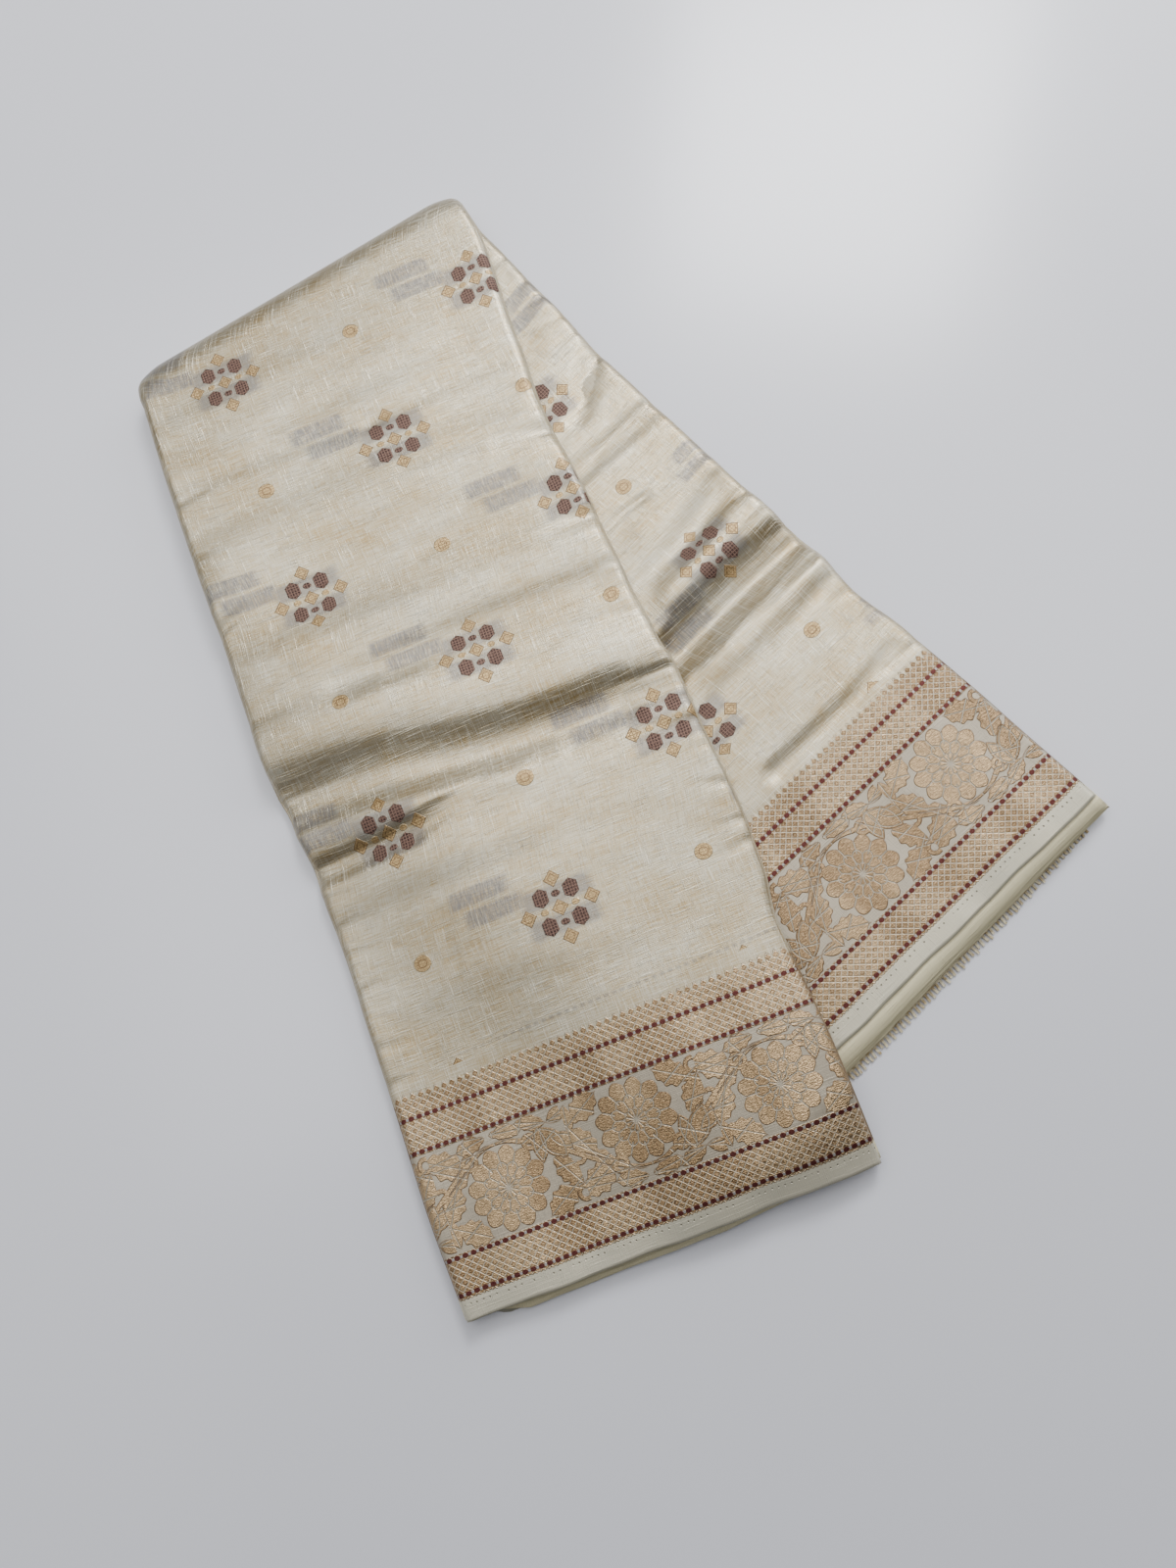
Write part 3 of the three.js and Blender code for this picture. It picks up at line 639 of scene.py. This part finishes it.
class Paint:
    """A material and its nodes."""

    def __init__(self, name, **fixed):
        self.material = bpy.data.materials.new(name)
        self.material.use_nodes = True
        self.tree = self.material.node_tree
        self.shader = self.tree.nodes["Principled BSDF"]
        for socket, value in fixed.items():
            self.shader.inputs[socket.replace("_", " ")].default_value = value

    def node(self, kind, settings=None, inputs=None):
        node = self.tree.nodes.new(kind)
        for key, value in (settings or {}).items():
            setattr(node, key, value)
        for key, value in (inputs or {}).items():
            self.feed(node.inputs[key], value)
        return node

    def feed(self, socket, value):
        if isinstance(value, Number):
            value = value.socket
        if isinstance(value, bpy.types.NodeSocket):
            self.tree.links.new(value, socket)
        elif isinstance(value, tuple) and socket.type == "RGBA":
            socket.default_value = (*value, 1)
        else:
            socket.default_value = value

    def number(self, kind, settings=None, inputs=None, output=0):
        return Number(self, self.node(kind, settings, inputs).outputs[output])

    def math(self, operation, *values):
        return self.number("ShaderNodeMath", {"operation": operation}, dict(enumerate(values)))

    def vector(self, x, y, z=0.0):
        return self.node("ShaderNodeCombineXYZ", None, {0: x, 1: y, 2: z}).outputs[0]

    def length(self, x, y):
        return self.math("SQRT", x * x + y * y)

    def noise(self, x, y, detail=2.0, roughness=0.5):
        """Noise between about 0.2 and 0.8 whose features are one unit of x and y across."""
        place = self.vector(x, y)
        inputs = {"Vector": place, "Scale": 1.0, "Detail": detail, "Roughness": roughness}
        return self.number("ShaderNodeTexNoise", {"noise_dimensions": "2D"}, inputs)

    def blend(self, below, above, share):
        """Colour below, with colour above over it by a share."""
        node = self.node("ShaderNodeMix", {"data_type": "RGBA"}, {0: share, 6: below, 7: above})
        return node.outputs[2]

    def cloth_place(self):
        """Across and along the cloth, in millimetres."""
        place = self.node("ShaderNodeUVMap", {"uv_map": "cloth"}).outputs[0]
        split = self.node("ShaderNodeSeparateXYZ", None, {0: place})
        return Number(self, split.outputs[0]) * 1000, Number(self, split.outputs[1]) * 1000

    def finish(self, colour, roughness, metallic, height, depth=1.0):
        self.feed(self.shader.inputs["Base Color"], colour)
        self.feed(self.shader.inputs["Roughness"], roughness)
        self.feed(self.shader.inputs["Metallic"], metallic)
        bump = self.node("ShaderNodeBump", None, {"Height": height, "Distance": 0.001 * depth})
        self.feed(self.shader.inputs["Normal"], bump.outputs[0])
        return self.material


def linear(red, green, blue):
    """A colour from its display values, 0 to 255."""
    return tuple(round((c / 255) ** 2.2, 4) for c in (red, green, blue))


CREAM = linear(189, 184, 166)
KHAKI = linear(154, 131, 88)
GHOST = linear(96, 96, 101)
MAROON = linear(48, 32, 30)
MAROON_THREAD = linear(142, 112, 98)
BEAD = linear(80, 36, 34)
GOLD = linear(192, 164, 126)
GOLD_DARK = linear(104, 78, 50)
BORDER_GROUND = linear(161, 151, 133)
LATTICE_LINE = linear(198, 188, 168)
MOTIF_GOLD = linear(180, 152, 106)
HEM_LEAF = linear(226, 216, 178)
SELVEDGE = linear(188, 183, 163)
YELLOW_SELVEDGE = linear(208, 200, 176)
BEAD_GROUND = linear(150, 146, 144)
SLUB = linear(236, 230, 210)
HIDDEN_SILK = linear(160, 149, 126)
PINHOLE = linear(104, 98, 84)
THREAD_DARK = linear(150, 132, 98)
THREAD_LIGHT = linear(205, 196, 168)
FLOOR = linear(205, 206, 213)


def woven(paint, u, v):
    """The plain silk: its colour, its metallic share and the height of its threads."""
    cloudy = paint.noise(u / 46, v / 30, 2)
    across = paint.noise(u / 14, v / 0.55, 2, 0.6)
    along = paint.noise(u / 0.5, v / 11, 2, 0.6)
    slub_across = paint.noise(u / 30 + 7, v / 0.7 + 3, 1).rise(0.65, 0.73)
    slub_along = paint.noise(u / 0.7 + 11, v / 26 + 5, 1).rise(0.65, 0.72)
    threads = across * 0.55 + along * 0.45
    shade = cloudy.rise(0.3, 0.72) * 0.35 + threads.rise(0.38, 0.62) * 0.65
    colour = paint.blend(KHAKI, CREAM, shade)
    colour = paint.blend(colour, SLUB, (slub_across * 0.28).high(slub_along * 0.34))
    height = threads * 0.2 + slub_along * 0.09 + slub_across * 0.06
    return colour, height, threads


# Motifs stand in a half drop; each has the floats of the leaf below it at one side.
MOTIF_PITCH = (83.5, 75.6)  # across and along
MOTIF_AT = (46, 184)  # middle of one motif
FLOATS_AT = (7, 202)  # middle of the floats below one motif
FIRST_MOTIF = 150  # no floats nearer to a selvedge
FAINT_LINE = 131  # row of floats above the border

BEAD_PITCH = 4.6
BEAD_LINES = (13.6, 32, 89.6, 107.5)  # from the selvedge
SELVEDGE_WIDTH = 10.9
FLOWER_BAND = (33.6, 88)
BORDER_WIDTH = 115.6  # without its scallops
SCALLOP = 5.2
HIDDEN_BORDER = (11, 117)  # the plain gold that stands for it on the hidden pleats
BORDER_FACES = 126  # faces nearer to a selvedge have the border's material
PINHOLE_PITCH = 3.6
PINHOLES_AT = 8.3  # from the selvedge


def motif(paint, u, v):
    """Woven motifs and dots in a half drop: masks of the gold, the maroon, the halo of floats
    under a motif, the shadow of the leaf below, and the fine threads in each."""
    pitch_u, pitch_v = MOTIF_PITCH
    x, y = u - MOTIF_AT[0], v - MOTIF_AT[1]
    column, row = round(x / pitch_u), round(y / pitch_v)
    x, y = x - column * pitch_u, y - row * pitch_v
    odd = (column + row) % 2
    wide, tall = abs(x), abs(y)
    hexagon_x, hexagon_y = abs(wide - 8.8), abs(tall - 8.2)
    hexagon = (hexagon_x * 1.12).high(hexagon_x * 0.52 + hexagon_y * 0.86) - 4.7
    oval = paint.length(x / 1.45, tall - 8.2) - 1.75
    maroon = hexagon.low(oval).inside() * odd
    middle = wide + tall
    sides = abs(wide - 18.6) + tall
    ends = wide + abs(tall - 16.6)
    diamond = middle.low(sides).low(ends) - 4.8
    small = paint.length((wide - 9) / 1.4, y) - 1.6
    dot = paint.length(x / 1.12, y) - 4.5
    ring = paint.length(x / 1.12, y)
    gold = diamond.low(small).inside() * odd
    gold = gold.high(dot.inside() * (1 - odd))
    rings = (abs(diamond + 2.1) - 0.35).low(abs(diamond + 0.3) - 0.3).inside(0.25) * odd
    rings = rings.high((abs(ring - 2.3) - 0.3).inside(0.25) * (1 - odd))
    soft = paint.noise(u / 7, v / 1.3, 3, 0.6)
    halo = (wide - 17 - soft * 6).inside(2.5) * (hexagon_y - 4.6 - soft * 2).inside(1.5) * odd
    gx, gy = u - FLOATS_AT[0], v - FLOATS_AT[1]
    column, row = round(gx / pitch_u), round(gy / pitch_v)
    gx, gy = gx - column * pitch_u, gy - row * pitch_v
    ghost_odd = (column + row) % 2
    lower = gy.rise(1, -1)
    bars = (abs(abs(gy) - 6.2) - 4.4 - soft * 1.2).inside(0.9)
    streaks = paint.noise(u / 0.9, v / 7, 2, 0.6).rise(0.3, 0.62)
    ghost = bars * (abs(gx + 3 - lower * 7) - 14.5 - soft * 5).inside(2) * ghost_odd
    ghost = ghost * (0.3 + streaks * 0.7)
    grid = abs(((x / 1.7) % 1) - 0.5).high(abs(((y / 1.7) % 1) - 0.5)).rise(0.33, 0.43)
    threads = (paint.noise(u / 0.9, v / 0.9, 1).rise(0.42, 0.6) * 0.45).high(grid)
    return gold, maroon, halo, ghost, rings, threads


def field_material():
    """Plain silk with woven motifs."""
    paint = Paint("silk_with_motifs", Specular_IOR_Level=0.6, Coat_Roughness=0.35)
    u, v = paint.cloth_place()
    colour, height, weave = woven(paint, u, v)
    gold, maroon, halo, ghost, rings, threads = motif(paint, u, v)
    near_border = v.low(LENGTH - v).rise(FIRST_MOTIF, FIRST_MOTIF + 10)
    grey = (ghost * 0.8).high(halo * 0.62) * (0.6 + weave * 0.6) * near_border
    colour = paint.blend(colour, GHOST, grey)
    below = (abs(v - FAINT_LINE) - 0.9).inside(0.5) * (abs(((u / 4.6) % 1) - 0.5) - 0.3).inside(0.1)
    colour = paint.blend(colour, GHOST, below * (u - 25).rise(0, 60) * 0.4)
    gold_colour = paint.blend(MOTIF_GOLD, GOLD_DARK, (threads * 0.45).high(rings * 0.9))
    colour = paint.blend(colour, gold_colour, gold)
    colour = paint.blend(colour, paint.blend(MAROON, MAROON_THREAD, threads * 0.7), maroon)
    raised = gold.high(maroon)
    metallic = 0.74 - grey * 0.2
    roughness = 0.28 + weave * 0.1 + maroon * 0.2
    paint.feed(paint.shader.inputs["Coat Weight"], 0.3 - maroon * 0.3)
    return paint.finish(colour, roughness, metallic, height + raised * (0.18 + threads * 0.1))


def leaf_shape(paint, x, y, centre, angle, long, wide, teeth=0.0):
    """Distance into a pointed leaf: negative inside, and the distance from its vein."""
    cos, sin = math.cos(math.radians(angle)), math.sin(math.radians(angle))
    along = x * cos + y * sin - (centre[0] * cos + centre[1] * sin)
    across = y * cos - x * sin - (centre[1] * cos - centre[0] * sin)
    half = 1 - (along / long) * (along / long)
    edge = half * wide
    if teeth:
        edge = edge + (along * (math.pi * 4 / long)).sin() * teeth
    off = abs(across)
    return off - edge, off


# Leaves and bud petals of the flowering band, in one repeat: centre, angle, half length, half
# width, toothed edge.
VINE_LEAVES = [
    ((-30, -17), 208, 12.5, 7, 0.8),
    ((-32, 3), 118, 11, 6, 0.6),
    ((-26, 20.5), 30, 10.5, 6.4, 0.7),
    ((-37, 17), 82, 8, 3.8, 0),
    ((-14, -22.5), 172, 9, 4.2, 0.4),
    ((7, -22.8), 8, 9.5, 4, 0.4),
    ((25, 20.5), 150, 11, 6.4, 0.7),
    ((32.5, 7.5), 58, 10.5, 5.8, 0.6),
    ((21, -22.5), 18, 8.5, 4, 0.3),
    ((-22.5, -8), 140, 7, 3.6, 0),
    ((36, -22), 160, 7, 3.6, 0),
    ((-6, -17.8), 176, 6, 1.8, 0),
]
BUD_PETALS = [((29.5, -9), 62, 11, 6), ((22.5, -10.5), 98, 10, 4.4), ((36, -8), 28, 9, 4.2)]


def flowering_band(paint, u, y):
    """Gold mask and vein lines of the band, which repeats every 77 mm with each repeat upside
    down beside the last."""
    repeat = 77
    cell = round(u / repeat)
    x = u - cell * repeat
    y = y * (1 - (cell % 2) * 2)
    fx, fy = x + 1, y - 4.6
    radius = paint.length(fx, fy)
    angle = paint.math("ARCTAN2", fy, fx)
    petal, between = abs((angle * 6).sin()), abs((angle * 6).cos())
    outer = radius - (18.2 + petal * 3.8)
    outer_ring = abs(radius - (11 + between * 2.4)) - 0.4
    inner_ring = abs(radius - (5 + petal * 1.6)) - 0.35
    scallops = outer_ring.low(inner_ring)
    gaps = (petal * radius * 0.16 - 0.36).high(11.5 - radius)
    gaps = gaps.low((between * radius * 0.16 - 0.32).high(radius - 11.5).high(5.5 - radius))
    gaps = gaps.low((petal * radius * 0.16 - 0.28).high(radius - 5.5))
    gold, vein = outer, gaps.low(scallops)
    stem = abs(y + (x * (math.pi / repeat)).cos() * 18)
    clear = (2.1 - stem).high(22.9 - radius)
    for centre, turn, long, wide, teeth in VINE_LEAVES:
        edge, off = leaf_shape(paint, x, y, centre, turn, long, wide, teeth)
        gold, vein = gold.low(edge.high(clear)), vein.low((off - 0.3).high(23.2 - radius))
    for centre, turn, long, wide in BUD_PETALS:
        edge, off = leaf_shape(paint, x, y, centre, turn, long, wide)
        gold, vein = gold.low(edge), vein.low(abs(edge + 1.3) - 0.3)
    gold = gold.low((stem - 1.4).high(22.8 - radius))
    for cx, cy, size in ((-17, -14, 3.6), (17.5, -13.5, 3.4), (37, 21, 3.4), (-37, -3, 3)):
        gold = gold.low(abs(paint.length(x - cx, y - cy) - size) - 1.1)
    return gold, vein


def border_material():
    """The woven border, from the selvedge in: plain selvedge, beads between lattices, a flowering
    band, and a row of small points."""
    paint = Paint("woven_border", Specular_IOR_Level=0.6, Coat_Roughness=0.35)
    u, v = paint.cloth_place()
    colour, height, weave = woven(paint, u, v)
    w = v.low(LENGTH - v)
    wobble = paint.noise(u / 30, v / 30, 1)

    a = ((u / BEAD_PITCH) % 1) - 0.5
    points = BORDER_WIDTH + (1 - a * a * 4) * SCALLOP * (0.8 + wobble * 0.4)
    teeth = SELVEDGE_WIDTH + abs(((u / 2.3) % 1) - 0.5) * 1.3
    all_gold = (teeth - w).high(w - points).inside()

    b = ((w / 4.3) % 1) - 0.5
    diamonds = abs(a) + abs(b)
    lattice_line = (abs(diamonds - 0.5) - 0.07).inside(0.05)
    lattice_ring = (abs(diamonds - 0.24) - 0.05).inside(0.05)
    in_flowers = w.band(*FLOWER_BAND)

    flower, veins = flowering_band(paint, u + 26, w - sum(FLOWER_BAND) / 2)
    flower_gold = flower.inside(0.2) * (1 - veins.inside(0.15))
    # A dark line round the flowers: partly their woven outline, partly painted shadow at the edges
    # of the raised floats.
    outline_and_edge_shadow = (abs(flower) - 0.3).inside(0.25) * in_flowers

    rib = paint.noise(u / 2.2, v / 0.5, 1).rise(0.35, 0.65)
    twill = abs((((u + v) / 0.9) % 1) - 0.5) * 2
    dashes = abs(((u / 2.3 + round(v / 0.9) * 0.5) % 1) - 0.5).rise(0.4, 0.5)
    # Painted sheen: broad noise bands darken the gold across the border in place of the light and
    # shade of its undulations; the rib, twill and dashes are the gold's own weave.
    painted_sheen_bands = paint.noise(u / 34 + 3, v / 90, 1).rise(0.44, 0.6)
    gold_weave_and_painted_sheen = paint.blend(GOLD, GOLD_DARK, rib * 0.25 + twill * 0.1 + dashes * 0.2 + painted_sheen_bands * 0.36)
    lattice_colour = paint.blend(gold_weave_and_painted_sheen, GOLD_DARK, lattice_ring * 0.85)
    lattice_colour = paint.blend(lattice_colour, LATTICE_LINE, lattice_line * 0.75)
    flower_colour = paint.blend(BORDER_GROUND, gold_weave_and_painted_sheen, flower_gold)
    flower_colour = paint.blend(flower_colour, GOLD_DARK, outline_and_edge_shadow * 0.75)
    pattern = paint.blend(lattice_colour, flower_colour, in_flowers)
    gold_share = (1 - in_flowers) * (1 - lattice_line * 0.6) + in_flowers * flower_gold

    near = abs(w - BEAD_LINES[0])
    for line in BEAD_LINES[1:]:
        near = near.low(abs(w - line))
    strip = (near - 1.4).inside()
    oval = paint.length(a * BEAD_PITCH / 1.32, near)
    maroon = (oval - 1.25).inside(0.12)
    other = ((u / BEAD_PITCH + 0.5) % 1) - 0.5
    pearl = (paint.length(other * BEAD_PITCH, near) - 0.78).inside(0.12)
    threads = paint.noise(u / 0.6, v / 0.6, 1).rise(0.42, 0.6)

    selvedge = paint.blend(SELVEDGE, YELLOW_SELVEDGE, wobble.rise(0.3, 0.7) * 0.5)
    colour = paint.blend(colour, selvedge, w.rise(16, 12))
    colour = paint.blend(colour, pattern, all_gold)
    colour = paint.blend(colour, GOLD_DARK, strip * 0.55)
    colour = paint.blend(colour, BEAD_GROUND, pearl)
    colour = paint.blend(colour, paint.blend(BEAD, MAROON_THREAD, threads * 0.1), maroon)
    jitter = paint.noise(round(u / PINHOLE_PITCH) * 7.3, 3.1, 0)
    hole_x = ((u / PINHOLE_PITCH + 0.5) % 1 - 0.5 + (jitter - 0.5) * 0.5) * PINHOLE_PITCH
    hole_y = w - PINHOLES_AT + (jitter - 0.5) * 1.4
    hole = (paint.length(hole_x, hole_y) - 0.42).inside(0.16) * jitter.rise(0.32, 0.42)
    colour = paint.blend(colour, PINHOLE, hole * 0.85)

    gold_share = gold_share * all_gold * (1 - maroon) * (1 - pearl)
    metallic = 0.5 + (gold_share * 0.42).high(maroon * 0.25)
    paint.feed(paint.shader.inputs["Coat Weight"], 0.2 - maroon * 0.2)
    roughness = 0.36 - gold_share * 0.06 + maroon * 0.1 + weave * 0.06
    floats = gold_share * (0.16 + rib * 0.14 + twill * 0.05)
    height = height * 0.7 + all_gold * 0.12 + floats + maroon.high(pearl) * 0.3 - hole * 0.3
    return paint.finish(colour, roughness, metallic, height)


def plain_material(name, colour, dark):
    """Plain silk of the hidden pleats, with the border's colour near both selvedges."""
    paint = Paint(name, Specular_IOR_Level=0.5)
    u, v = paint.cloth_place()
    base, height, weave = woven(paint, u, v)
    w = v.low(LENGTH - v)
    base = paint.blend(base, dark, 0.25)
    in_border = w.band(*HIDDEN_BORDER, 1)
    base = paint.blend(base, GOLD_DARK, in_border * 0.7)
    base = paint.blend(base, colour, w.rise(12, 10))
    return paint.finish(base, 0.5 + weave * 0.1, 0.2 + in_border * 0.2, height)


field, border = field_material(), border_material()
plain = plain_material("plain_silk", HEM_LEAF, HIDDEN_SILK)


def dress(piece, materials):
    """Gives a face near a selvedge the border's material and any other the field's."""
    mesh = piece.data
    for material in materials:
        mesh.materials.append(material)
    if len(materials) > 1:
        uv = np.empty(len(mesh.loops) * 2, np.float32)
        mesh.uv_layers["cloth"].data.foreach_get("uv", uv)
        starts = np.empty(len(mesh.polygons), int)
        mesh.polygons.foreach_get("loop_start", starts)
        along = uv.reshape(-1, 2)[starts, 1] * 1000
        near = np.minimum(along, LENGTH - along) < BORDER_FACES
        mesh.polygons.foreach_set("material_index", near.astype(int))


dress(outer_leaf, [field, border])
dress(inner_leaf, [field, border])
dress(hidden_pleats, [plain])

for piece, nodes, slot in (
    (outer_leaf, ("front_panel", "fold_turn", "back_underside"), "brocade_silk"),
    (inner_leaf, ("front_underside", "back_panel"), "brocade_silk"),
    (hidden_pleats, ("front_inner_layers", "back_inner_layers"), "plain_silk"),
):
    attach(piece, "root")
    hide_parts(*nodes)

# ------------------------------------------------------------------ cut threads at the back hem
thread = Paint("cut_threads")
place = thread.node("ShaderNodeTexCoord").outputs["Object"]
wool = thread.number("ShaderNodeTexNoise", None, {"Vector": place, "Scale": 420.0, "Detail": 2.0})
thread_colour = thread.blend(THREAD_DARK, THREAD_LIGHT, wool.rise(0.35, 0.65))
thread_material = thread.finish(thread_colour, 0.7, 0.05, wool * 0.3)
fringe_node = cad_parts["back_selvedge_fringe"]
fringe_node.data.materials.clear()
fringe_node.data.materials.append(thread_material)

# ------------------------------------------------------------------ floor, light and camera
floor_mesh = bmesh.new()
bmesh.ops.create_grid(floor_mesh, x_segments=1, y_segments=1, size=6)
bmesh.ops.translate(floor_mesh, verts=floor_mesh.verts, vec=(0, 0, -0.0004))
floor_data = bpy.data.meshes.new("floor")
floor_mesh.to_mesh(floor_data)
floor_mesh.free()
floor = bpy.data.objects.new("floor", floor_data)
bpy.context.scene.collection.objects.link(floor)
floor_paint = Paint("pale_floor", Roughness=0.22, Specular_IOR_Level=0.55)
floor_paint.feed(floor_paint.shader.inputs["Base Color"], FLOOR)
floor_data.materials.append(floor_paint.material)
floor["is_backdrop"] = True

world = bpy.data.worlds.new("studio")
bpy.context.scene.world = world
world.use_nodes = True
world.node_tree.nodes["Background"].inputs["Color"].default_value = (0.86, 0.9, 1, 1)
world.node_tree.nodes["Background"].inputs["Strength"].default_value = 0.12


def area_light(name, place, aim, size, power, colour):
    light = bpy.data.lights.new(name, "AREA")
    light.shape, light.size, light.size_y = "RECTANGLE", *size
    light.energy, light.color = power, colour
    lamp = bpy.data.objects.new(name, light)
    lamp.location = place
    lamp.rotation_euler = (Vector(aim) - Vector(place)).to_track_quat("-Z", "Y").to_euler()
    bpy.context.scene.collection.objects.link(lamp)


area_light("ceiling", (0.08, 0.74, 1.6), (0.08, 0.739, 0), (2.4, 1.86), 40, (1, 0.99, 0.97))
area_light("window", (0.9, 1.4, 1.6), (0.1, 0.1, 0), (0.7, 0.7), 34, (0.97, 0.98, 1))
area_light("right", (1.25, 0.55, 0.6), (0, 0, 0), (1.4, 0.9), 13, (0.95, 0.97, 1))
area_light("left", (-1.3, 0, 0.85), (0, 0, 0), (1.5, 1.1), 4, (0.95, 0.97, 1))

camera_data = bpy.data.cameras.new("camera")
camera_data.lens, camera_data.sensor_width = 27, 36
camera = bpy.data.objects.new("camera", camera_data)
right = Vector((0.92809517, -0.35626941, -0.10821954))
upward = Vector((0.37108319, 0.90891476, 0.19018737))
backward = Vector((0.03060439, -0.21667043, 0.97576498))
stand = Vector((0.18187271, 0.10087528, 0.65894187))  # from the front left hem corner, in metres
stand -= Vector((MIDDLE[0] / 1000, MIDDLE[1] / 1000, 0))
turned = Matrix((right, upward, backward)).transposed()
camera.matrix_world = Matrix.Translation(stand) @ turned.to_4x4()
bpy.context.scene.collection.objects.link(camera)
bpy.context.scene.camera = camera

dressed_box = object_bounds()
{"solids": [list(c) for c in solid_box], "dressed": [list(c) for c in dressed_box]}
